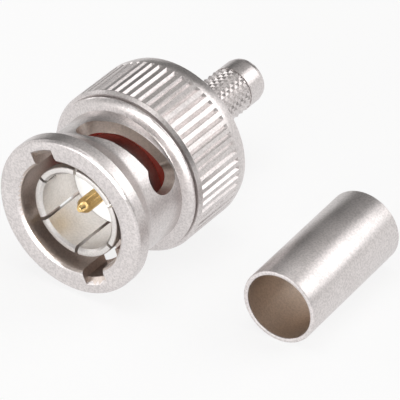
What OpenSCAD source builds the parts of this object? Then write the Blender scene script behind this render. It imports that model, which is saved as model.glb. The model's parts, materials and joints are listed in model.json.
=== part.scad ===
// Bayonet coaxial plug for a crimped cable, lying on its side, with its loose crimp ferrule
// beside it. Stations along the plug are measured from the mouth of the coupling nut, going
// back towards the cable. Angles run clockwise as seen from the mouth, from the right hand side.

/* [Coupling nut] */
// Length of the nut
nut_len = 15.2; // [14.6:0.1:16]
// Diameter of the fluted grip
grip_d = 14.8; // [14.4:0.1:15.6]
// Station where the grip starts
grip_start = 7.9; // [7.7:0.1:8.4]
// Diameter of the front flange
flange_d = 14.1; // [13.8:0.1:14.6]
// Width of the flange's straight band
flange_w = 1.25; // [1:0.05:1.4]
// Diameter of the neck that holds the cam slots
neck_d = 12.1; // [11.9:0.05:12.3]
// Station where the neck meets the shoulder
shoulder_start = 7.2; // [7.1:0.05:7.3]
// Diameter of the shoulder ring in front of the grip
shoulder_d = 14.1; // [13.8:0.1:14.3]
// Bore that slides over the mating socket
nut_bore_d = 9.9; // [9.8:0.05:10]
// Bore of the inner web that turns on the body
web_bore_d = 8; // [7.9:0.05:8.1]
// Thickness of the inner web
web_t = 1.8; // [1.4:0.1:2]
// Diameter of the recess behind the web
recess_d = 9.6; // [9.4:0.1:9.8]
// Radius on the flange's outer front edge
flange_round = 0.35; // [0.2:0.05:0.45]
// Radius on the mouth's inner lip
lip_round = 0.45; // [0.2:0.05:0.5]
// Radius of the grip's rear rim
rim_round = 1.4; // [1:0.1:1.6]

/* [Grip flutes] */
// Number of flutes
flute_count = 60; // [48:2:64]
// Width of a flute at the surface
flute_w = 0.4; // [0.3:0.02:0.44]
// Depth of a flute
flute_depth = 0.2; // [0.15:0.01:0.24]
// Length of the flutes behind the grip's front chamfer
flute_len = 5.2; // [4.5:0.1:5.4]

/* [Bayonet cam] */
// Diameter over the two entry grooves for the socket's studs
groove_d = 11.3; // [11.2:0.05:11.5]
// Width of an entry groove
groove_w = 2.3; // [2.1:0.05:2.5]
// Depth of the lead-in chamfer at an entry groove's mouth
groove_lead = 0.5; // [0.3:0.05:0.6]
// Angle of the first entry groove
groove_angle = 243.5; // [230:0.5:255]
// Width of the cam slot
slot_w = 2.4; // [2.2:0.05:2.5]
// Station of the cam's centre line where the entry groove meets it
cam_start = 3.95; // [3.8:0.05:4.1]
// Distance that the cam's centre line climbs
cam_rise = 1.8; // [1.6:0.05:1.85]
// Turn from the entry groove to the top of the cam
cam_turn = 80; // [76:1:84]
// Turn from the entry groove to where the slot opens through the wall
cam_opening = 18; // [16:1:22]
// Diameter of the detent pocket at the cam's end
detent_d = 3; // [2.8:0.05:3.1]
// Turn from the top of the cam to the detent pocket's centre
detent_turn = 7; // [6:0.5:9]
// Distance that the pocket drops back towards the mouth
detent_drop = 0.2; // [0.15:0.05:0.4]

/* [Outer contact] */
// Diameter over the bead of the contact fingers
contact_d = 8.2; // [8.1:0.05:8.4]
// Diameter of the fingers behind the bead
finger_d = 7.8; // [7.7:0.05:7.9]
// Bore of the fingers
finger_bore_d = 6.9; // [6.8:0.05:7]
// Distance of the contact's front edge behind the mouth
contact_recess = 0.9; // [0.6:0.1:1.2]
// Length of the bead
bead_len = 0.8; // [0.6:0.05:1]
// Number of slots between the fingers
finger_slots = 6; // [4:1:6]
// Width of a slot between two fingers
finger_slot_w = 0.3; // [0.2:0.05:0.5]
// Length of the slots
finger_slot_len = 5.3; // [4.6:0.1:5.6]
// Chamfer on the bore's front edge
finger_chamfer = 0.2; // [0.1:0.05:0.25]
// Thickness of the contact's flange
contact_flange_t = 0.9; // [0.7:0.1:1]
// Diameter of the spigot that presses into the body
spigot_d = 6.6; // [6.4:0.1:6.7]
// Length of the spigot
spigot_len = 2.2; // [1.8:0.1:2.4]

/* [Insulators] */
// Distance of the front insulator's face behind the contact's front edge
insulator_depth = 4.5; // [4.3:0.1:4.8]
// Bore of the contact behind the insulator's head
insulator_tail_d = 5.6; // [5.4:0.1:5.8]
// Thickness of the body's wall behind the rear insulator
cavity_wall = 0.6; // [0.5:0.05:0.7]
// Gap that the pin's collar fills between the insulators
collar_gap = 0.8; // [0.6:0.1:0.9]

/* [Centre pin] */
// Diameter of the pin's contact end
pin_d = 1.32; // [1.32:0.01:1.37]
// Distance of the pin's tip behind the contact's front edge
pin_recess = 0.45; // [0.3:0.05:0.7]
// Length of the tapered tip
pin_taper = 0.75; // [0.6:0.05:0.9]
// Diameter of the tip's blunt end
pin_nose_d = 0.4; // [0.3:0.05:0.5]
// Diameter of the pin inside the front insulator
pin_shank_d = 1.8; // [1.7:0.05:1.9]
// Diameter of the pin's collar
pin_collar_d = 2.4; // [2.2:0.1:2.6]
// Diameter of the crimp barrel
barrel_d = 1.9; // [1.8:0.05:2]
// Bore for the cable's inner conductor
wire_d = 1; // [0.9:0.05:1.1]
// Depth of the inner conductor's bore
wire_depth = 2.8; // [2.4:0.1:3]

/* [Gasket and washers] */
// Station of the gasket's front face
gasket_start = 7.3; // [7.2:0.05:7.4]
// Thickness of the gasket
gasket_t = 0.8; // [0.7:0.1:1]
// Thickness of the plain washers
washer_t = 0.2; // [0.15:0.05:0.3]
// Outer diameter of the washers
washer_d = 9.6; // [9.4:0.1:9.7]
// Thickness of the wave washer's strip
wave_t = 0.18; // [0.15:0.01:0.22]
// Height of the wave washer at rest
wave_h = 1; // [0.9:0.05:1.2]
// Number of waves round the washer
wave_count = 3; // [3:1:4]

/* [Crimp body] */
// Diameter of the crimp stem over its knurl
stem_d = 4.2; // [4.1:0.05:4.4]
// Bore of the crimp stem
stem_bore_d = 3.2; // [3:0.05:3.3]
// Length of the stem behind the nut
stem_len = 10.3; // [9.5:0.1:11]
// Length of the smooth band at the stem's end
stem_band = 2.4; // [2:0.1:3]
// Radius on the stem's end
stem_round = 0.9; // [0.5:0.1:1]
// Diameter of the collar that keeps the nut on
collar_d = 9.2; // [9:0.1:9.3]
// Distance of the collar's rear face inside the nut
collar_inset = 0.2; // [0.1:0.05:0.3]
// Number of knurl diamonds round the stem
knurl_count = 20; // [16:1:22]
// Depth of the knurl
knurl_depth = 0.12; // [0.1:0.01:0.16]

/* [Crimp ferrule] */
// Outer diameter of the ferrule
ferrule_d = 6.6; // [6.4:0.1:6.9]
// Bore of the ferrule
ferrule_bore_d = 5.8; // [5.6:0.05:5.9]
// Length of the ferrule
ferrule_len = 13.4; // [12:0.1:14]
// Radius on the ferrule's outer edges
ferrule_round = 0.12; // [0.05:0.01:0.15]
// Sideways place of the ferrule's front end
ferrule_x = 17.5; // [14:0.1:20]
// Place of the ferrule's front end along the plug, behind the mouth
ferrule_y = 4.3; // [0:0.1:10]
// Angle between the ferrule and the plug
ferrule_angle = 2.5; // [-8:0.5:8]

/* [Fits] */
// Radial clearance of the nut on the body
running_gap = 0.05; // [0.03:0.01:0.08]
// Radial clearance of seated pieces
seat_gap = 0.02; // [0.01:0.01:0.03]
// Clearance between pieces that move apart
loose_gap = 0.1; // [0.08:0.01:0.15]

/* [Hidden] */
$fn = 36;
eps = 0.01;
nickel = "#c9c6c4";
gold = "#d9b25a";
ptfe = "#f4f4f2";
silicone = "#b5402e";
steel = "#b8b8ba";

// Stations from the mouth back to the cable end
contact_start = contact_recess;
insulator_start = contact_start + insulator_depth;
contact_flange_start = gasket_start + gasket_t;
front_washer_start = contact_flange_start + contact_flange_t;
wave_start = front_washer_start + washer_t;
rear_washer_start = wave_start + wave_h;
web_start = rear_washer_start + washer_t;
web_end = web_start + web_t;
collar_start = web_end + running_gap;
collar_end = nut_len - collar_inset;
spigot_end = front_washer_start + spigot_len;
pin_collar_start = spigot_end - collar_gap;
insulator_head_end = contact_flange_start + 0.5;
rear_insulator_start = spigot_end;
rear_insulator_end = collar_end - cavity_wall;
stem_end = nut_len + stem_len;
knurl_start = collar_end + 1.0;
knurl_end = stem_end - stem_band;

// Diameters that follow from a neighbour and a clearance
contact_flange_d = nut_bore_d - 2 * loose_gap;
journal_d = web_bore_d - 2 * running_gap;
washer_bore_d = journal_d + 2 * loose_gap;
gasket_bore_d = finger_d + 2 * seat_gap;
gasket_d = nut_bore_d - 2 * loose_gap;
body_seat_d = spigot_d + 2 * seat_gap;
rear_insulator_d = body_seat_d - 1.0;
flute_end = grip_start + flute_len;

// A square corner's waste outside a true radius, with the corner at the origin and the
// work towards +X and +Y
module corner_waste(radius) {
    difference() {
        translate([-eps, -eps]) square(radius + eps);
        translate([radius, radius]) circle(r = radius, $fn = 12);
    }
}

// A turned ring between two stations
module ring(outer_d, inner_d, start, end) {
    translate([0, 0, start])
        difference() {
            cylinder(d = outer_d, h = end - start);
            translate([0, 0, -1]) cylinder(d = inner_d, h = end - start + 2);
        }
}

// A turned ring whose outer edges are rounded
module rounded_ring(outer_d, inner_d, start, end, edge) {
    translate([0, 0, start])
        rotate_extrude()
            difference() {
                translate([inner_d / 2, 0]) square([(outer_d - inner_d) / 2, end - start]);
                translate([outer_d / 2, 0]) rotate(90) corner_waste(edge);
                translate([outer_d / 2, end - start]) rotate(180) corner_waste(edge);
            }
}

// One V flute with boat-shaped ends, cut into a cylinder of the grip's radius
module flute(start, end) {
    surface_r = grip_d / 2;
    lift = 0.05;
    half_w = flute_w / 2 * (flute_depth + lift) / flute_depth;
    top = surface_r + lift;
    keel = surface_r - flute_depth;
    run = flute_depth + lift;
    polyhedron(
        points = [[top, -half_w, start], [top, half_w, start], [top, half_w, end],
                  [top, -half_w, end], [keel, 0, start + run], [keel, 0, end - run]],
        faces = [[3, 2, 1, 0], [1, 4, 0], [2, 5, 4, 1], [3, 5, 2], [0, 4, 5, 3]]);
}

// Stations of the cam's centre line as fractions of its turn and its climb
cam_knots = [[0, 0], [0.23, 0.22], [0.46, 0.58], [1, 1]];
neck_r = neck_d / 2;
degrees_per_mm = 180 / PI / neck_r;

// Station of the cam's centre line after a turn from the entry groove
function cam_station(turn) = cam_start + cam_rise * lookup(turn / cam_turn, cam_knots);

// The round cutters that sweep the slot: turn, station and radius of each
function cam_cutters(first_turn, width, pocket, grow) = concat(
    [for (step = [0:40])
        let (turn = first_turn + (cam_turn - first_turn) * step / 40)
        [turn, cam_station(turn), width / 2 + grow]],
    pocket ? [[cam_turn + detent_turn, cam_station(cam_turn) - detent_drop,
               detent_d / 2 + grow]] : []);

// Half the height of a round cutter at a turn, or a negative number beyond its rim
function reach(cutter, turn) =
    let (off = (turn - cutter[0]) / degrees_per_mm)
    abs(off) < cutter[2] ? sqrt(cutter[2] * cutter[2] - off * off) : -1;

function front_edge(cutters, turn) =
    min([for (c = cutters) let (h = reach(c, turn)) h < 0 ? 1000 : c[1] - h]);
function rear_edge(cutters, turn) =
    max([for (c = cutters) let (h = reach(c, turn)) h < 0 ? -1000 : c[1] + h]);

// Turns at which the slot's edge is sampled: its round ends finely, its ramp evenly
function slot_turns(cutters) =
    let (first = cutters[0], last = cutters[len(cutters) - 1])
    concat(
        [for (a = [3:6:87]) first[0] - first[2] * degrees_per_mm * cos(a)],
        [for (step = [0:28]) first[0] + 0.3 + (last[0] - first[0] - 0.6) * step / 28],
        [for (a = [87:-6:3]) last[0] + last[2] * degrees_per_mm * cos(a)]);

// The solid swept by a radial cutter along the cam, flaring from grow_in at inner_r to
// grow_out at outer_r
module cam_sweep(first_turn, width, pocket, inner_r, outer_r, grow_in, grow_out) {
    cut_in = cam_cutters(first_turn, width, pocket, grow_in);
    cut_out = cam_cutters(first_turn, width, pocket, grow_out);
    turns_in = slot_turns(cut_in);
    turns_out = slot_turns(cut_out);
    last = len(turns_in) - 1;
    polyhedron(
        points = [for (i = [0:last]) each [
            [inner_r * cos(turns_in[i]), inner_r * sin(turns_in[i]),
             front_edge(cut_in, turns_in[i])],
            [outer_r * cos(turns_out[i]), outer_r * sin(turns_out[i]),
             front_edge(cut_out, turns_out[i])],
            [outer_r * cos(turns_out[i]), outer_r * sin(turns_out[i]),
             rear_edge(cut_out, turns_out[i])],
            [inner_r * cos(turns_in[i]), inner_r * sin(turns_in[i]),
             rear_edge(cut_in, turns_in[i])]]],
        faces = concat(
            [[0, 2, 1], [0, 3, 2]],
            [for (i = [0:last - 1]) for (k = [0:3])
                let (a = 4 * i + k, b = 4 * i + (k + 1) % 4)
                each [[a, b, a + 4], [b, b + 4, a + 4]]],
            [[4 * last, 4 * last + 1, 4 * last + 2],
             [4 * last, 4 * last + 2, 4 * last + 3]]));
}

module coupling_nut() {
    color(nickel)
    difference() {
        nut_shell();
        for (half = [0:1]) rotate(groove_angle + 180 * half) {
            intersection() {
                union() {
                    translate([0, 0, -1]) cylinder(d = groove_d, h = cam_start + 1);
                    translate([0, 0, -eps])
                        cylinder(d1 = groove_d + 2 * (groove_lead + eps), d2 = groove_d,
                                 h = groove_lead + eps);
                }
                translate([0, -groove_w / 2, -2])
                    cube([groove_d, groove_w, cam_start + 2]);
            }
            cam_sweep(0, groove_w - 0.05, false, nut_bore_d / 2 - 0.7, groove_d / 2, 0, 0);
            cam_sweep(cam_opening, slot_w, true, nut_bore_d / 2 - 0.7, neck_r + 1.2, 0, 0);
        }
        for (i = [0:flute_count - 1])
            rotate((i + 0.5) * 360 / flute_count)
                flute(grip_start + 0.3, flute_end + 0.3);
    }
}

// The turned nut before its slots and flutes are cut
module nut_shell() {
    outer_r = grip_d / 2;
    flange_r = flange_d / 2;
    shoulder_r = shoulder_d / 2;
    bore_r = nut_bore_d / 2;
    cone_angle = 32.4;
    blend_r = 1.4;
    corner = flange_w + (flange_r - neck_r) / tan(cone_angle);
    tangent = blend_r * tan(cone_angle / 2);
    rotate_extrude() difference() {
        polygon([
            [bore_r, 0], [flange_r, 0], [flange_r, flange_w],
            [neck_r + tangent * sin(cone_angle), corner - tangent * cos(cone_angle)],
            [neck_r, corner + tangent], [neck_r, shoulder_start],
            [shoulder_r - 0.1, shoulder_start + 0.3], [shoulder_r, shoulder_start + 0.4],
            [shoulder_r, grip_start - 0.2], [shoulder_r - 0.2, grip_start - 0.15],
            [shoulder_r - 0.2, grip_start], [outer_r - 0.2, grip_start],
            [outer_r, grip_start + 0.3], [outer_r, nut_len], [recess_d / 2, nut_len],
            [recess_d / 2, web_end], [web_bore_d / 2, web_end],
            [web_bore_d / 2, web_start], [bore_r, web_start]]);
        translate([neck_r + blend_r, corner + tangent]) circle(r = blend_r, $fn = 32);
        translate([bore_r, 0]) corner_waste(lip_round);
        translate([flange_r, 0]) rotate(90) corner_waste(flange_round);
        translate([outer_r, nut_len]) rotate(180) corner_waste(rim_round);
    }
}

module outer_contact() {
    bead_r = contact_d / 2;
    finger_r = finger_d / 2;
    bore_r = finger_bore_d / 2;
    tail_r = insulator_tail_d / 2;
    bead_end = contact_start + bead_len;
    color(nickel)
    difference() {
        rotate_extrude() difference() {
            polygon([
                [bore_r + finger_chamfer, contact_start], [bead_r, contact_start],
                [bead_r, bead_end], [finger_r, bead_end + 0.2],
                [finger_r, contact_flange_start], [contact_flange_d / 2, contact_flange_start],
                [contact_flange_d / 2, front_washer_start], [spigot_d / 2, front_washer_start],
                [spigot_d / 2, spigot_end], [tail_r, spigot_end],
                [tail_r, insulator_head_end], [bore_r, insulator_head_end],
                [bore_r, contact_start + finger_chamfer]]);
            translate([bead_r, contact_start]) rotate(90) corner_waste(0.15);
        }
        for (i = [0:finger_slots - 1])
            rotate(30 + i * 360 / finger_slots)
                translate([bore_r - 0.8, -finger_slot_w / 2, contact_start - 1])
                    cube([2, finger_slot_w, finger_slot_len + 1]);
    }
}

module crimp_body() {
    seat_r = body_seat_d / 2;
    cavity_r = rear_insulator_d / 2 + seat_gap;
    stem_r = stem_d / 2;
    bore_r = stem_bore_d / 2;
    color(nickel)
    difference() {
        union() {
            rotate_extrude() difference() {
                polygon([
                    [bore_r, front_washer_start], [journal_d / 2, front_washer_start],
                    [journal_d / 2, collar_start], [collar_d / 2, collar_start],
                    [collar_d / 2, collar_end], [stem_r - knurl_depth, collar_end],
                    [stem_r - knurl_depth - 0.05, knurl_start],
                    [stem_r - knurl_depth - 0.05, knurl_end - 0.1],
                    [stem_r - 0.05, knurl_end - 0.1], [stem_r - 0.05, stem_end],
                    [bore_r, stem_end]]);
                translate([stem_r - 0.05, stem_end]) rotate(180) corner_waste(stem_round);
            }
            knurl();
        }
        translate([0, 0, front_washer_start - 1]) cylinder(r = seat_r, h = spigot_len + 1);
        translate([0, 0, spigot_end - eps])
            cylinder(r = cavity_r, h = rear_insulator_end + running_gap - spigot_end + eps);
        translate([0, 0, front_washer_start - 1]) cylinder(r = bore_r, h = stem_end);
    }
}

// The stem's diamond knurl: rings of points that stand alternately on a crest and in a
// valley, with every point of both end rings in a valley
module knurl() {
    points_round = 2 * knurl_count;
    crest_r = stem_d / 2;
    valley_r = crest_r - knurl_depth;
    pitch = PI * stem_d / points_round;
    rows = floor((knurl_end - knurl_start) / pitch);
    function at(row, i) = row * points_round + i % points_round;
    polyhedron(
        points = [for (row = [0:rows]) for (i = [0:points_round - 1])
            let (r = (row + i) % 2 == 0 && row > 0 && row < rows ? crest_r : valley_r,
                 a = i * 360 / points_round)
            [r * cos(a), r * sin(a), knurl_end - (rows - row) * pitch]],
        faces = concat(
            [[for (i = [0:points_round - 1]) i]],
            [for (row = [0:rows - 1]) for (i = [0:points_round - 1])
                let (a = at(row, i), b = at(row, i + 1), c = at(row + 1, i + 1),
                     d = at(row + 1, i))
                each (row + i) % 2 == 0 ? [[a, d, b], [b, d, c]] : [[a, d, c], [a, c, b]]],
            [[for (i = [points_round - 1:-1:0]) rows * points_round + i]]));
}

module front_insulator() {
    color(ptfe)
    difference() {
        union() {
            translate([0, 0, insulator_start])
                cylinder(r = finger_bore_d / 2 - seat_gap,
                         h = insulator_head_end - insulator_start);
            translate([0, 0, insulator_start])
                cylinder(r = insulator_tail_d / 2 - seat_gap,
                         h = pin_collar_start - insulator_start);
        }
        translate([0, 0, insulator_start - 1])
            cylinder(r = pin_shank_d / 2 + seat_gap, h = pin_collar_start - insulator_start + 2);
    }
}

module rear_insulator() {
    color(ptfe)
        ring(rear_insulator_d, barrel_d + 2 * seat_gap, rear_insulator_start,
             rear_insulator_end);
}

module centre_pin() {
    tip = contact_start + pin_recess;
    pin_r = pin_d / 2;
    color(gold)
    rotate_extrude() polygon([
        [0, tip], [pin_nose_d / 2, tip], [pin_r - 0.06, tip + pin_taper - 0.15],
        [pin_r, tip + pin_taper], [pin_r, insulator_start],
        [pin_shank_d / 2, insulator_start], [pin_shank_d / 2, pin_collar_start],
        [pin_collar_d / 2, pin_collar_start], [pin_collar_d / 2, rear_insulator_start],
        [barrel_d / 2, rear_insulator_start], [barrel_d / 2, rear_insulator_end],
        [wire_d / 2, rear_insulator_end], [wire_d / 2, rear_insulator_end - wire_depth],
        [0, rear_insulator_end - wire_depth]]);
}

module gasket() {
    color(silicone)
        rounded_ring(gasket_d, gasket_bore_d, gasket_start, contact_flange_start, 0.1);
}

module front_washer() {
    color(steel) ring(washer_d, washer_bore_d, front_washer_start, wave_start);
}

module rear_washer() {
    color(steel) ring(washer_d, washer_bore_d, rear_washer_start, web_start);
}

module wave_washer() {
    steps = 72;
    inner_r = washer_bore_d / 2;
    outer_r = washer_d / 2;
    swing = (wave_h - wave_t) / 2;
    function mid(i) = wave_start + wave_h / 2 + swing * cos(wave_count * i * 360 / steps);
    color(steel)
    polyhedron(
        points = [for (i = [0:steps - 1]) let (a = i * 360 / steps, z = mid(i)) each [
            [inner_r * cos(a), inner_r * sin(a), z - wave_t / 2],
            [outer_r * cos(a), outer_r * sin(a), z - wave_t / 2],
            [outer_r * cos(a), outer_r * sin(a), z + wave_t / 2],
            [inner_r * cos(a), inner_r * sin(a), z + wave_t / 2]]],
        faces = [for (i = [0:steps - 1]) for (k = [0:3])
            let (a = 4 * i + k, b = 4 * i + (k + 1) % 4,
                 c = (4 * i + 4 + (k + 1) % 4) % (4 * steps), d = (4 * i + 4 + k) % (4 * steps))
            each [[a, b, d], [b, c, d]]]);
}

// The ferrule's axis lies one ferrule radius above the surface the nut's grip rests on
module crimp_ferrule() {
    color(nickel)
    translate([ferrule_x, ferrule_y - insulator_start, (ferrule_d - grip_d) / 2])
        rotate([-90, 0, ferrule_angle]) rounded_tube();
}

module rounded_tube() {
    outer_r = ferrule_d / 2;
    inner_r = ferrule_bore_d / 2;
    rotate_extrude() difference() {
        translate([inner_r, 0]) square([outer_r - inner_r, ferrule_len]);
        translate([outer_r, 0]) rotate(90) corner_waste(ferrule_round);
        translate([outer_r, ferrule_len]) rotate(180) corner_waste(ferrule_round);
    }
}

// Lays a piece turned about the vertical on its side, with the mouth towards -Y and the
// origin on the axis at the front insulator's face
module lay() {
    translate([0, -insulator_start, 0]) rotate([-90, 0, 0]) children();
}

lay() coupling_nut();
lay() outer_contact();
lay() crimp_body();
lay() front_insulator();
lay() rear_insulator();
lay() centre_pin();
lay() gasket();
lay() front_washer();
lay() wave_washer();
lay() rear_washer();
crimp_ferrule();
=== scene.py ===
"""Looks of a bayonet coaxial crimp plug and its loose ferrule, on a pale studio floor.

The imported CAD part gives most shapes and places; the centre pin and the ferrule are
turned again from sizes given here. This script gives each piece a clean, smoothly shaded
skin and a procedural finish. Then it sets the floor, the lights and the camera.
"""

from __future__ import annotations

import json
import logging
import math
from dataclasses import dataclass, field, replace
from enum import Enum

import bpy
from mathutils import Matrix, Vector

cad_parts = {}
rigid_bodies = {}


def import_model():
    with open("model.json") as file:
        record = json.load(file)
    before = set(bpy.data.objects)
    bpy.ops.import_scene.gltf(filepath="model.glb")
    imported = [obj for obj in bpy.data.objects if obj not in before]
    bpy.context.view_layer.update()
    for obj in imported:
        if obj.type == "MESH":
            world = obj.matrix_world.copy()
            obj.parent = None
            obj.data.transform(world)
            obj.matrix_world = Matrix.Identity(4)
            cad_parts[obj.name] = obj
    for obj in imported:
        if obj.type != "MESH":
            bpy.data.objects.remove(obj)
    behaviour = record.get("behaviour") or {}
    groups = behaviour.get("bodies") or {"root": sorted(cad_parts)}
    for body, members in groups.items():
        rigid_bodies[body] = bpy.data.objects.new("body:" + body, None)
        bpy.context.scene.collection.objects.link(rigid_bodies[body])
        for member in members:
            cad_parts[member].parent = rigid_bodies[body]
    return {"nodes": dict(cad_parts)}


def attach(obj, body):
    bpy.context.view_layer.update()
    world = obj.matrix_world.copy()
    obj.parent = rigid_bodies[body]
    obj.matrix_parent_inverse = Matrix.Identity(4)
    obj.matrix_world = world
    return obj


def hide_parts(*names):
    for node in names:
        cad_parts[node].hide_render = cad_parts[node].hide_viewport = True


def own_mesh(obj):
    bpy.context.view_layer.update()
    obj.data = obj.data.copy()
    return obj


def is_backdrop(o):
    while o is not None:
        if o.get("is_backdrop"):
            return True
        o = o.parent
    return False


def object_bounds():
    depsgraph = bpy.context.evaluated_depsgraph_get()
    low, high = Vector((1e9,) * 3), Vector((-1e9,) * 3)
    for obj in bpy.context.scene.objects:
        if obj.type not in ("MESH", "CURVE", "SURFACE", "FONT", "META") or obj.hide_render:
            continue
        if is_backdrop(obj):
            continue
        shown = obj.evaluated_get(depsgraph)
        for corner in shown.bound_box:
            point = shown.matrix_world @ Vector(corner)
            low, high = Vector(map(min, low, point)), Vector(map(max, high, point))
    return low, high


LOG = logging.getLogger("plug")
MM = 0.001
Color = tuple[float, float, float]

# Where the nut's mouth lies in the part's frame, in millimetres.
MOUTH_MM = (0.0, -5.4, 0.0)

# The two colours and the result among the sockets of a colour Mix node.
MIX_FACTOR, MIX_FIRST, MIX_SECOND, MIX_RESULT = 0, 6, 7, 2


class Body(str, Enum):
    """The rigid bodies that pieces ride on."""

    PLUG = "plug"
    SLIP_RING = "slip_ring"
    NUT = "nut"


class Slot(str, Enum):
    """The record's material slots."""

    NICKEL = "nickel"
    PTFE = "ptfe"
    GOLD = "gold"
    SILICONE = "silicone"
    SPRING_STEEL = "spring_steel"


@dataclass(frozen=True)
class Finish:
    """A procedural surface, read from the piece's own coordinates in metres.

    Attributes:
        name: Name of the material.
        color: Base colour, linear RGB.
        roughness: Mean roughness.
        metallic: 1 for metal, 0 for the rest.
        mottle: How far roughness wanders over the surface.
        speckle: Share of the colour that the darkest grains lose.
        grain_per_m: Density of the fine grain.
        grain_depth: Height of the fine grain in metres.
        lines_per_m: Density of turning lines along the plug's axis.
        lines_depth: Height of the turning lines in metres.
        subsurface: Weight of light that passes under the surface.
        subsurface_mm: How far red, green and blue light travel under the surface.
        cloud_per_m: Density of the soft clouds in which roughness wanders.
        cloud_range: The clouds' noise levels that give the ends of that wander.
        grain_range: The grain's noise levels that give its darkest and palest colour.
        smoothest: Least roughness that the wander reaches.
        line_spread: Density of turning lines around the axis, as a share of that
            along it.
    """

    name: str
    color: Color
    roughness: float
    metallic: float = 1.0
    mottle: float = 0.06
    speckle: float = 0.05
    grain_per_m: float = 6000.0
    grain_depth: float = 0.0
    lines_per_m: float = 7000.0
    lines_depth: float = 0.0
    subsurface: float = 0.0
    subsurface_mm: Color = (0.6, 0.4, 0.3)
    cloud_per_m: float = 420.0
    cloud_range: tuple[float, float] = (0.3, 0.7)
    grain_range: tuple[float, float] = (0.35, 0.65)
    smoothest: float = 0.02
    line_spread: float = 0.03

    def build(self) -> bpy.types.Material:
        """Builds the material.

        Returns:
            The material, ready to be put in a slot.
        """
        material = bpy.data.materials.new(self.name)
        material.use_nodes = True
        tree = material.node_tree
        shader = tree.nodes["Principled BSDF"]
        shader.inputs["Metallic"].default_value = self.metallic
        coords = tree.nodes.new("ShaderNodeTexCoord").outputs["Object"]
        self._wander(tree, shader, coords)
        self._relief(tree, shader, coords)
        if self.subsurface:
            shader.inputs["Subsurface Weight"].default_value = self.subsurface
            shader.inputs["Subsurface Radius"].default_value = (
                Vector(self.subsurface_mm) * MM
            )
        return material

    def _noise(
        self,
        tree: bpy.types.NodeTree,
        coords: bpy.types.NodeSocket,
        scale: tuple[float, float, float],
        detail: float,
    ) -> bpy.types.NodeSocket:
        """Adds a noise whose grain can differ along each axis.

        Args:
            tree: The material's node tree.
            coords: Coordinates to read, in metres.
            scale: Density along each axis, per metre.
            detail: Octaves of the noise.

        Returns:
            The noise's value, around 0.5.
        """
        mapping = tree.nodes.new("ShaderNodeMapping")
        mapping.inputs["Scale"].default_value = scale
        noise = tree.nodes.new("ShaderNodeTexNoise")
        noise.inputs["Scale"].default_value = 1.0
        noise.inputs["Detail"].default_value = detail
        tree.links.new(coords, mapping.inputs["Vector"])
        tree.links.new(mapping.outputs["Vector"], noise.inputs["Vector"])
        return noise.outputs["Fac"]

    @staticmethod
    def _spread(
        tree: bpy.types.NodeTree,
        value: bpy.types.NodeSocket,
        source: tuple[float, float],
        target: tuple[float, float],
    ) -> bpy.types.NodeSocket:
        """Spreads the middle of a noise over a range.

        Args:
            tree: The material's node tree.
            value: The noise.
            source: The noise's levels that give the ends of the range.
            target: The ends of the range.

        Returns:
            The value, within the range.
        """
        node = tree.nodes.new("ShaderNodeMapRange")
        node.inputs["From Min"].default_value = source[0]
        node.inputs["From Max"].default_value = source[1]
        node.inputs["To Min"].default_value = target[0]
        node.inputs["To Max"].default_value = target[1]
        tree.links.new(value, node.inputs["Value"])
        return node.outputs["Result"]

    def _wander(
        self,
        tree: bpy.types.NodeTree,
        shader: bpy.types.Node,
        coords: bpy.types.NodeSocket,
    ) -> None:
        """Lets roughness wander in soft clouds, and colour from grain to grain.

        Args:
            tree: The material's node tree.
            shader: The surface shader.
            coords: Coordinates to read, in metres.
        """
        cloud = self._noise(tree, coords, (self.cloud_per_m,) * 3, 3.0)
        ends = (
            max(self.smoothest, self.roughness - self.mottle),
            self.roughness + self.mottle,
        )
        rough = self._spread(tree, cloud, self.cloud_range, ends)
        tree.links.new(rough, shader.inputs["Roughness"])
        grain = self._noise(tree, coords, (self.grain_per_m,) * 3, 1.0)
        share = self._spread(tree, grain, self.grain_range, (0.0, 1.0))
        tint = tree.nodes.new("ShaderNodeMix")
        tint.data_type = "RGBA"
        dark = [channel * (1.0 - self.speckle) for channel in self.color]
        tint.inputs[MIX_FIRST].default_value = (*dark, 1.0)
        tint.inputs[MIX_SECOND].default_value = (*self.color, 1.0)
        tree.links.new(share, tint.inputs[MIX_FACTOR])
        tree.links.new(tint.outputs[MIX_RESULT], shader.inputs["Base Color"])

    def _relief(
        self,
        tree: bpy.types.NodeTree,
        shader: bpy.types.Node,
        coords: bpy.types.NodeSocket,
    ) -> None:
        """Adds the grain's and the turning lines' relief, where the finish has them.

        Args:
            tree: The material's node tree.
            shader: The surface shader.
            coords: Coordinates to read, in metres.
        """
        around = self.lines_per_m * self.line_spread
        layers = (
            (self.grain_depth, (self.grain_per_m,) * 3),
            (self.lines_depth, (around, self.lines_per_m, around)),
        )
        target = shader.inputs["Normal"]
        for depth, scale in layers:
            if not depth:
                continue
            bump = tree.nodes.new("ShaderNodeBump")
            bump.inputs["Strength"].default_value = 1.0
            bump.inputs["Distance"].default_value = depth
            tree.links.new(self._noise(tree, coords, scale, 2.0), bump.inputs["Height"])
            tree.links.new(bump.outputs["Normal"], target)
            target = bump.inputs["Normal"]


FINISHES: dict[Slot, Finish] = {
    Slot.NICKEL: Finish(
        name="satin_nickel",
        color=(0.745, 0.70, 0.69),
        roughness=0.36,
        mottle=0.05,
        speckle=0.2,
        grain_depth=0.000008,
        lines_depth=0.000001,
    ),
    Slot.PTFE: Finish(
        name="white_ptfe",
        color=(0.93, 0.93, 0.92),
        roughness=0.42,
        metallic=0.0,
        mottle=0.04,
        speckle=0.02,
    ),
    Slot.GOLD: Finish(
        name="gold_plate", color=(0.90, 0.66, 0.30), roughness=0.15, mottle=0.04
    ),
    Slot.SILICONE: Finish(
        name="red_silicone",
        color=(0.26, 0.026, 0.015),
        roughness=0.36,
        metallic=0.0,
        subsurface=0.1,
    ),
    Slot.SPRING_STEEL: Finish(
        name="spring_steel", color=(0.50, 0.49, 0.48), roughness=0.3
    ),
}

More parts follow.
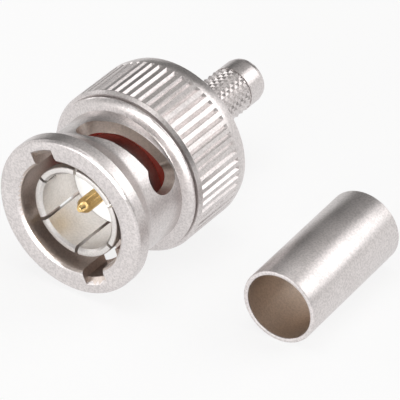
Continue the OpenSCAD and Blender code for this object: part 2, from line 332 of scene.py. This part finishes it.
CONTACT_FINISH = Finish(
    name="matte_nickel",
    color=(0.72, 0.69, 0.67),
    roughness=0.42,
    speckle=0.12,
)

# Painted shade: the nut's inside is darker and browner than its outside. This stands in
# for the recess's shade and its reflection of the red gasket.
RECESS_SHADE_FINISH = Finish(
    name="nickel_painted_recess_shade",
    color=(0.66, 0.575, 0.525),
    roughness=0.38,
    speckle=0.15,
    grain_depth=0.000008,
)

FERRULE_BORE_FINISH = replace(RECESS_SHADE_FINISH, name="warm_nickel", color=(0.80, 0.70, 0.62))


class Mesher:
    """Edits meshes with Blender's own operators.

    Attributes:
        MERGE_M: Points closer than this, in metres, become one.
    """

    MERGE_M = 0.000004

    @staticmethod
    def only(obj: bpy.types.Object) -> None:
        """Selects one object and makes it active."""
        bpy.ops.object.select_all(action="DESELECT")
        obj.select_set(True)
        bpy.context.view_layer.objects.active = obj

    @classmethod
    def copy(cls, source: bpy.types.Object, name: str) -> bpy.types.Object:
        """Copies an object with its own mesh.

        Args:
            source: The object to copy.
            name: Name of the copy.

        Returns:
            The copy, with no parent and no material.
        """
        cls.only(source)
        bpy.ops.object.duplicate(linked=False)
        skin = bpy.context.view_layer.objects.active
        bpy.ops.object.parent_clear(type="CLEAR_KEEP_TRANSFORM")
        skin.name = skin.data.name = name
        skin.data.materials.clear()
        return skin

    @classmethod
    def smooth(cls, obj: bpy.types.Object, angle_deg: float) -> None:
        """Joins loose triangles and shades the surface smoothly up to an angle.

        Args:
            obj: The object to shade.
            angle_deg: Largest angle between faces that still look like one surface.
        """
        cls.only(obj)
        bpy.ops.object.mode_set(mode="EDIT")
        bpy.ops.mesh.select_all(action="SELECT")
        bpy.ops.mesh.customdata_custom_splitnormals_clear()
        bpy.ops.mesh.remove_doubles(threshold=cls.MERGE_M)
        bpy.ops.mesh.tris_convert_to_quads()
        bpy.ops.object.mode_set(mode="OBJECT")
        bpy.ops.object.shade_smooth_by_angle(angle=math.radians(angle_deg))
        weigh = obj.modifiers.new("weigh_normals", "WEIGHTED_NORMAL")
        weigh.keep_sharp = True
        bpy.ops.object.modifier_apply(modifier=weigh.name)


class Lathe:
    """Turns a round piece by extruding a circle from station to station.

    Attributes:
        SIDES: Sides of the circle.
        MERGE_M: Points closer than this, in metres, become one.
        SHARP_DEG: Edges that bend more than this are bevelled and shaded as edges.
        BEVEL_STEPS: Steps across a bevel.
    """

    SIDES = 160
    MERGE_M = 0.000001
    SHARP_DEG = 24.0
    BEVEL_STEPS = 3

    @classmethod
    def turn(
        cls,
        name: str,
        stations: list[tuple[float, float]],
        edge_mm: float,
        place_mm: tuple[float, float, float],
        heading_deg: float = 0.0,
    ) -> bpy.types.Object:
        """Turns a piece whose axis then lies along +Y.

        Args:
            name: Name of the piece.
            stations: Distance along the axis and radius at each step, in millimetres. A
                profile that comes back to its first station becomes a tube.
            edge_mm: Width of the bevel on sharp edges.
            place_mm: Where the axis starts.
            heading_deg: Turn of the laid axis about the vertical.

        Returns:
            The finished piece, with its object at the origin.
        """
        tube = stations[0] == stations[-1]
        start, radius = stations[0]
        bpy.ops.object.select_all(action="DESELECT")
        bpy.ops.mesh.primitive_circle_add(
            vertices=cls.SIDES,
            radius=radius * MM,
            fill_type="NOTHING" if tube else "NGON",
            location=(0.0, 0.0, start * MM),
        )
        piece = bpy.context.object
        piece.name = piece.data.name = name
        bpy.ops.object.transform_apply(location=True, rotation=False, scale=False)
        bpy.ops.object.mode_set(mode="EDIT")
        bpy.ops.mesh.select_all(action="SELECT")
        for station, wider in stations[1:]:
            step = (station - start) * MM
            bpy.ops.mesh.extrude_region_move(
                TRANSFORM_OT_translate={"value": (0.0, 0.0, step)}
            )
            grow = wider / radius
            bpy.ops.transform.resize(value=(grow, grow, 1.0))
            start, radius = station, wider
        bpy.ops.mesh.select_all(action="SELECT")
        bpy.ops.mesh.remove_doubles(threshold=cls.MERGE_M)
        bpy.ops.mesh.normals_make_consistent(inside=False)
        bpy.ops.mesh.select_all(action="DESELECT")
        bpy.ops.mesh.select_mode(type="EDGE")
        bpy.ops.mesh.edges_select_sharp(sharpness=math.radians(cls.SHARP_DEG))
        bpy.ops.mesh.bevel(offset=edge_mm * MM, segments=cls.BEVEL_STEPS)
        bpy.ops.object.mode_set(mode="OBJECT")
        piece.location = Vector(place_mm) * MM
        piece.rotation_euler = (-math.pi / 2.0, 0.0, math.radians(heading_deg))
        bpy.ops.object.transform_apply(location=True, rotation=True, scale=True)
        bpy.ops.object.shade_smooth_by_angle(angle=math.radians(cls.SHARP_DEG))
        return piece


@dataclass(frozen=True)
class Bore:
    """The inside of a round piece, with a finish of its own. In the nut that finish is
    painted shade: a darker, browner colour for the recess's shade and its reflection of
    the gasket.

    Attributes:
        start_mm: Where the piece's axis starts.
        heading_deg: Turn of that axis about the vertical, from +Y.
        depth_mm: First and last distance along the axis.
        reach_mm: Largest distance from the axis.
        outward: Faces that look away from the axis more than this stay as they are.
    """

    start_mm: tuple[float, float, float]
    heading_deg: float
    depth_mm: tuple[float, float]
    reach_mm: float
    outward: float = 0.5

    def paint(self, piece: bpy.types.Object, material: bpy.types.Material) -> None:
        """Gives the inside a finish of its own.

        Args:
            piece: The finished piece.
            material: The finish of its inside.
        """
        turn = math.radians(self.heading_deg)
        axis = Vector((-math.sin(turn), math.cos(turn), 0.0))
        piece.data.materials.append(material)
        inner = len(piece.data.materials) - 1
        for face in piece.data.polygons:
            across = face.center / MM - Vector(self.start_mm)
            along = across.dot(axis)
            across -= along * axis
            inside = self.depth_mm[0] < along < self.depth_mm[1]
            if inside and across.length < self.reach_mm:
                if face.normal.dot(across.normalized()) < self.outward:
                    face.material_index = inner


@dataclass(frozen=True)
class CentrePin:
    """The gold centre contact. Stations are in millimetres behind the nut's mouth.

    Attributes:
        stations: Station and radius along the pin, from its tip to its crimp barrel.
        edge: Width of the bevel on its edges.
    """

    stations: tuple[tuple[float, float], ...] = (
        (1.35, 0.2), (1.95, 0.6), (2.1, 0.66), (5.4, 0.66), (5.4, 0.9), (10.4, 0.9),
        (10.4, 1.2), (11.2, 1.2), (11.2, 0.95), (14.4, 0.95), (14.4, 0.5), (11.6, 0.5),
    )
    edge: float = 0.035

    def build(self, material: bpy.types.Material) -> None:
        """Turns the pin and puts its finish on it.

        Args:
            material: The finish.
        """
        pin = Lathe.turn("centre_pin_turned", list(self.stations), self.edge, MOUTH_MM)
        pin.data.materials.append(material)
        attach(pin, Body.PLUG.value)
        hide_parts("centre_pin")
        LOG.info("%s rides on %s", pin.name, Body.PLUG.value)


@dataclass(frozen=True)
class CrimpFerrule:
    """The loose ferrule. Sizes are in millimetres.

    Attributes:
        outer_r: Outer radius.
        inner_r: Radius of the bore.
        length: Length.
        place: Centre of its front end.
        heading_deg: Turn of its axis from the plug's.
        edge: Width of the bevel on its rims.
    """

    outer_r: float = 3.3
    inner_r: float = 2.9
    length: float = 13.4
    place: tuple[float, float, float] = (17.5, -1.1, -4.1)
    heading_deg: float = 2.5
    edge: float = 0.1

    def build(
        self, material: bpy.types.Material, bore_material: bpy.types.Material
    ) -> None:
        """Turns the ferrule and puts its finishes on it.

        Args:
            material: The finish of its outside.
            bore_material: The finish of its bore.
        """
        front, back = 0.0, self.length
        profile = [
            (front, self.inner_r), (front, self.outer_r), (back, self.outer_r),
            (back, self.inner_r), (front, self.inner_r),
        ]
        ferrule = Lathe.turn(
            "crimp_ferrule_turned", profile, self.edge, self.place, self.heading_deg
        )
        ferrule.data.materials.append(material)
        depth = (self.edge, self.length - self.edge)
        middle_r = (self.inner_r + self.outer_r) / 2.0
        Bore(self.place, self.heading_deg, depth, middle_r).paint(ferrule, bore_material)
        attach(ferrule, Body.PLUG.value)
        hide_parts("crimp_ferrule")
        LOG.info("%s rides on %s", ferrule.name, Body.PLUG.value)


@dataclass
class Skin:
    """A visible piece that stands for one CAD node.

    Attributes:
        node: The CAD node.
        body: The body it rides on.
        slot: The material slot it takes its finish from.
        angle_deg: Angle up to which its surface is shaded smoothly.
        finish: A finish of its own, if it doesn't have the slot's.
    """

    node: str
    body: Body
    slot: Slot
    angle_deg: float = 28.0
    finish: Finish | None = None

    def build(
        self, source: bpy.types.Object, material: bpy.types.Material
    ) -> bpy.types.Object:
        """Builds the piece from its CAD node.

        Args:
            source: The CAD node's object.
            material: The finish to put on it.

        Returns:
            The finished piece.
        """
        skin = Mesher.copy(source, f"{self.node}_skin")
        Mesher.smooth(skin, self.angle_deg)
        skin.data.materials.append(material)
        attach(skin, self.body.value)
        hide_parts(self.node)
        LOG.info("%s rides on %s", skin.name, self.body.value)
        return skin


@dataclass(frozen=True)
class Squash:
    """How a spring would flatten as a joint moves; the script does not flatten it.

    Attributes:
        joint: The joint that would flatten it. Not used.
        axis: The direction in which it would get thinner. Not used.
        anchor_mm: A point on its side that would stay in place. Not used.
        keep: Share of its thickness that would be left at the joint's limit. Not used.
    """

    joint: str
    axis: tuple[float, float, float]
    anchor_mm: tuple[float, float, float]
    keep: float

    def put_on(self, piece: bpy.types.Object) -> None:
        """Gives a spring a mesh of its own; it does not flatten it.

        Args:
            piece: The finished spring.
        """
        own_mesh(piece)


@dataclass
class Plug:
    """The plug and its ferrule.

    Attributes:
        skins: The pieces that are made from their CAD nodes.
        springs: How each spring among them would flatten, by node; each only gets a mesh
            of its own.
        bores: The insides that have a finish of their own, by node. The nut's is painted
            shade of its recess.
        pin: The centre contact.
        ferrule: The loose ferrule.
    """

    skins: list[Skin] = field(
        default_factory=lambda: [
            Skin("coupling_nut", Body.NUT, Slot.NICKEL),
            Skin("outer_contact", Body.PLUG, Slot.NICKEL, finish=CONTACT_FINISH),
            Skin("crimp_body", Body.PLUG, Slot.NICKEL, 24.0),
            Skin("front_insulator", Body.PLUG, Slot.PTFE),
            Skin("rear_insulator", Body.PLUG, Slot.PTFE),
            Skin("gasket", Body.PLUG, Slot.SILICONE),
            Skin("front_washer", Body.PLUG, Slot.SPRING_STEEL),
            Skin("wave_washer", Body.PLUG, Slot.SPRING_STEEL, 40.0),
            Skin("rear_washer", Body.SLIP_RING, Slot.SPRING_STEEL),
        ]
    )
    springs: dict[str, Squash] = field(
        default_factory=lambda: {
            "wave_washer": Squash(
                joint="nut_slide",
                axis=(0.0, 1.0, 0.0),
                anchor_mm=(0.0, 3.8, 0.0),
                keep=0.4,
            )
        }
    )
    bores: dict[str, Bore] = field(
        default_factory=lambda: {
            # Painted shade: the nut's inside takes a darker, browner colour for its
            # recess's shade and its reflection of the gasket.
            "coupling_nut": Bore(
                start_mm=MOUTH_MM, heading_deg=0.0, depth_mm=(0.1, 10.0), reach_mm=6.0
            )
        }
    )
    pin: CentrePin = CentrePin()
    ferrule: CrimpFerrule = CrimpFerrule()

    def build(self, nodes: dict[str, bpy.types.Object]) -> None:
        """Builds every piece.

        Args:
            nodes: The CAD nodes' objects by name.
        """
        materials = {slot: finish.build() for slot, finish in FINISHES.items()}
        # The nut's inside takes painted shade: a darker, browner colour for its recess.
        bore_material = RECESS_SHADE_FINISH.build()
        for skin in self.skins:
            material = skin.finish.build() if skin.finish else materials[skin.slot]
            piece = skin.build(nodes[skin.node], material)
            if skin.node in self.bores:
                self.bores[skin.node].paint(piece, bore_material)
            if skin.node in self.springs:
                self.springs[skin.node].put_on(piece)
        self.pin.build(materials[Slot.GOLD])
        self.ferrule.build(materials[Slot.NICKEL], FERRULE_BORE_FINISH.build())


@dataclass(frozen=True)
class SoftBox:
    """A square area light.

    Attributes:
        name: Name of the light.
        place: Centre in metres.
        size: Width and height in metres.
        watts: Power.
    """

    name: str
    place: tuple[float, float, float]
    size: tuple[float, float]
    watts: float

    def build(self, target: Vector) -> None:
        """Adds the light, aimed at a point.

        Args:
            target: The point it faces.
        """
        bpy.ops.object.light_add(type="AREA", location=self.place)
        lamp = bpy.context.object
        lamp.name = self.name
        lamp.data.shape = "RECTANGLE"
        lamp.data.size, lamp.data.size_y = self.size
        lamp.data.energy = self.watts
        aim = target - Vector(self.place)
        lamp.rotation_euler = aim.to_track_quat("-Z", "Y").to_euler()


@dataclass
class Studio:
    """A pale floor, soft boxes and a surround with a pale horizon.

    Attributes:
        floor_half: Half the floor's side in metres.
        floor_color: The floor's colour.
        floor_roughness: The floor's roughness.
        floor_specular: The floor's reflection at grazing angles.
        floor_lift: Share of plain white that the camera and reflections see in the floor.
        boxes: The lights.
        surround: Height and brightness at each stop, from horizon to zenith.
        surround_tint: Colour of the surround.
    """

    floor_half: float = 1.5
    floor_color: Color = (0.93, 0.93, 0.93)
    floor_roughness: float = 0.9
    floor_specular: float = 0.1
    floor_lift: float = 0.8
    boxes: tuple[SoftBox, ...] = (
        SoftBox("back_right", (0.42, 0.50, 0.38), (0.62, 0.50), 2.0),
        SoftBox("overhead", (0.0, 0.0, 0.60), (0.40, 0.40), 0.9),
        SoftBox("left_side", (-0.52, -0.15, 0.20), (0.30, 0.22), 0.5),
        SoftBox("front_fill", (0.04, -0.60, 0.07), (0.50, 0.12), 3.6),
    )
    surround: tuple[tuple[float, float], ...] = (
        (0.0, 1.0), (0.06, 1.0), (0.13, 0.10), (0.40, 0.08), (0.60, 0.34), (1.0, 0.6),
    )
    surround_tint: Color = (1.0, 0.985, 0.965)

    def build(self, floor_height: float, target: Vector) -> None:
        """Builds floor, lights and surround.

        Args:
            floor_height: Height of the surface that the part lies on.
            target: The point that the lights face.
        """
        bpy.ops.mesh.primitive_plane_add(
            size=2.0 * self.floor_half, location=(0.0, 0.0, floor_height)
        )
        floor = bpy.context.object
        floor.name = "studio_floor"
        material = bpy.data.materials.new("floor_paper")
        material.use_nodes = True
        shader = material.node_tree.nodes["Principled BSDF"]
        shader.inputs["Base Color"].default_value = (*self.floor_color, 1.0)
        shader.inputs["Roughness"].default_value = self.floor_roughness
        shader.inputs["Specular IOR Level"].default_value = self.floor_specular
        self._lift(material.node_tree, shader)
        floor.data.materials.append(material)
        floor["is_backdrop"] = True
        for box in self.boxes:
            box.build(target)
        self._surround()

    def _lift(self, tree: bpy.types.NodeTree, shader: bpy.types.Node) -> None:
        """Lifts the floor towards white where the camera or a reflection shows it.

        Args:
            tree: The floor material's node tree.
            shader: The floor's surface shader.
        """
        glow = tree.nodes.new("ShaderNodeEmission")
        path = tree.nodes.new("ShaderNodeLightPath")
        seen = path.outputs["Is Camera Ray"]
        for ray in ("Is Glossy Ray", "Is Transmission Ray"):
            either = tree.nodes.new("ShaderNodeMath")
            either.operation = "MAXIMUM"
            tree.links.new(seen, either.inputs[0])
            tree.links.new(path.outputs[ray], either.inputs[1])
            seen = either.outputs["Value"]
        share = tree.nodes.new("ShaderNodeMath")
        share.operation = "MULTIPLY"
        share.inputs[1].default_value = self.floor_lift
        mix = tree.nodes.new("ShaderNodeMixShader")
        tree.links.new(seen, share.inputs[0])
        tree.links.new(share.outputs["Value"], mix.inputs["Fac"])
        tree.links.new(shader.outputs["BSDF"], mix.inputs[1])
        tree.links.new(glow.outputs["Emission"], mix.inputs[2])
        surface = tree.nodes["Material Output"].inputs["Surface"]
        tree.links.new(mix.outputs["Shader"], surface)

    def _surround(self) -> None:
        """Builds a surround that is white at the horizon and dimmer above it."""
        world = bpy.data.worlds.new("surround")
        bpy.context.scene.world = world
        world.use_nodes = True
        tree = world.node_tree
        background = tree.nodes["Background"]
        coords = tree.nodes.new("ShaderNodeTexCoord")
        split = tree.nodes.new("ShaderNodeSeparateXYZ")
        ramp = tree.nodes.new("ShaderNodeValToRGB")
        tree.links.new(coords.outputs["Generated"], split.inputs["Vector"])
        tree.links.new(split.outputs["Z"], ramp.inputs["Fac"])
        tree.links.new(ramp.outputs["Color"], background.inputs["Color"])
        stops = ramp.color_ramp.elements
        while len(stops) < len(self.surround):
            stops.new(0.5)
        for stop, (height, level) in zip(stops, self.surround):
            stop.position = height
            stop.color = (*(level * channel for channel in self.surround_tint), 1.0)


@dataclass
class Camera:
    """A long lens that looks down on the plug from in front of its mouth.

    Attributes:
        place: The camera's place in metres.
        elevation_deg: How steeply it looks down.
        heading_deg: Turn from the plug's axis towards +X.
        lens_mm: Focal length on a sensor of sensor_mm.
        sensor_mm: Width of the sensor.
        near: Distance in metres at which the camera starts to see.
        far: Distance in metres at which it stops.
    """

    place: tuple[float, float, float] = (0.1599, -0.2149, 0.1841)
    elevation_deg: float = 34.7
    heading_deg: float = 35.06
    lens_mm: float = 360.0
    sensor_mm: float = 36.0
    near: float = 0.01
    far: float = 20.0

    def build(self) -> None:
        """Adds the camera and sets how its picture shows colour."""
        tilt, turn = math.radians(self.elevation_deg), math.radians(self.heading_deg)
        ahead = Vector(
            (-math.sin(turn) * math.cos(tilt), math.cos(turn) * math.cos(tilt),
             -math.sin(tilt))
        )
        bpy.ops.object.camera_add(location=self.place)
        camera = bpy.context.object
        camera.name = "camera"
        camera.rotation_euler = ahead.to_track_quat("-Z", "Y").to_euler()
        camera.data.lens = self.lens_mm
        camera.data.sensor_width = self.sensor_mm
        camera.data.clip_start = self.near
        camera.data.clip_end = self.far
        scene = bpy.context.scene
        scene.camera = camera
        scene.view_settings.view_transform = "Standard"


def corners() -> list[list[float]]:
    """Returns the object's lowest and highest corners as plain lists."""
    return [[float(value) for value in corner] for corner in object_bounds()]


def main() -> None:
    """Dresses the part and sets the stage."""
    logging.basicConfig(level=logging.INFO)
    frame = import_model()
    cad_box = corners()
    Plug().build(frame["nodes"])
    middle = Vector((low + high) / 2.0 for low, high in zip(*cad_box))
    Studio().build(cad_box[0][2], middle)
    Camera().build()


if __name__ == "__main__":
    main()
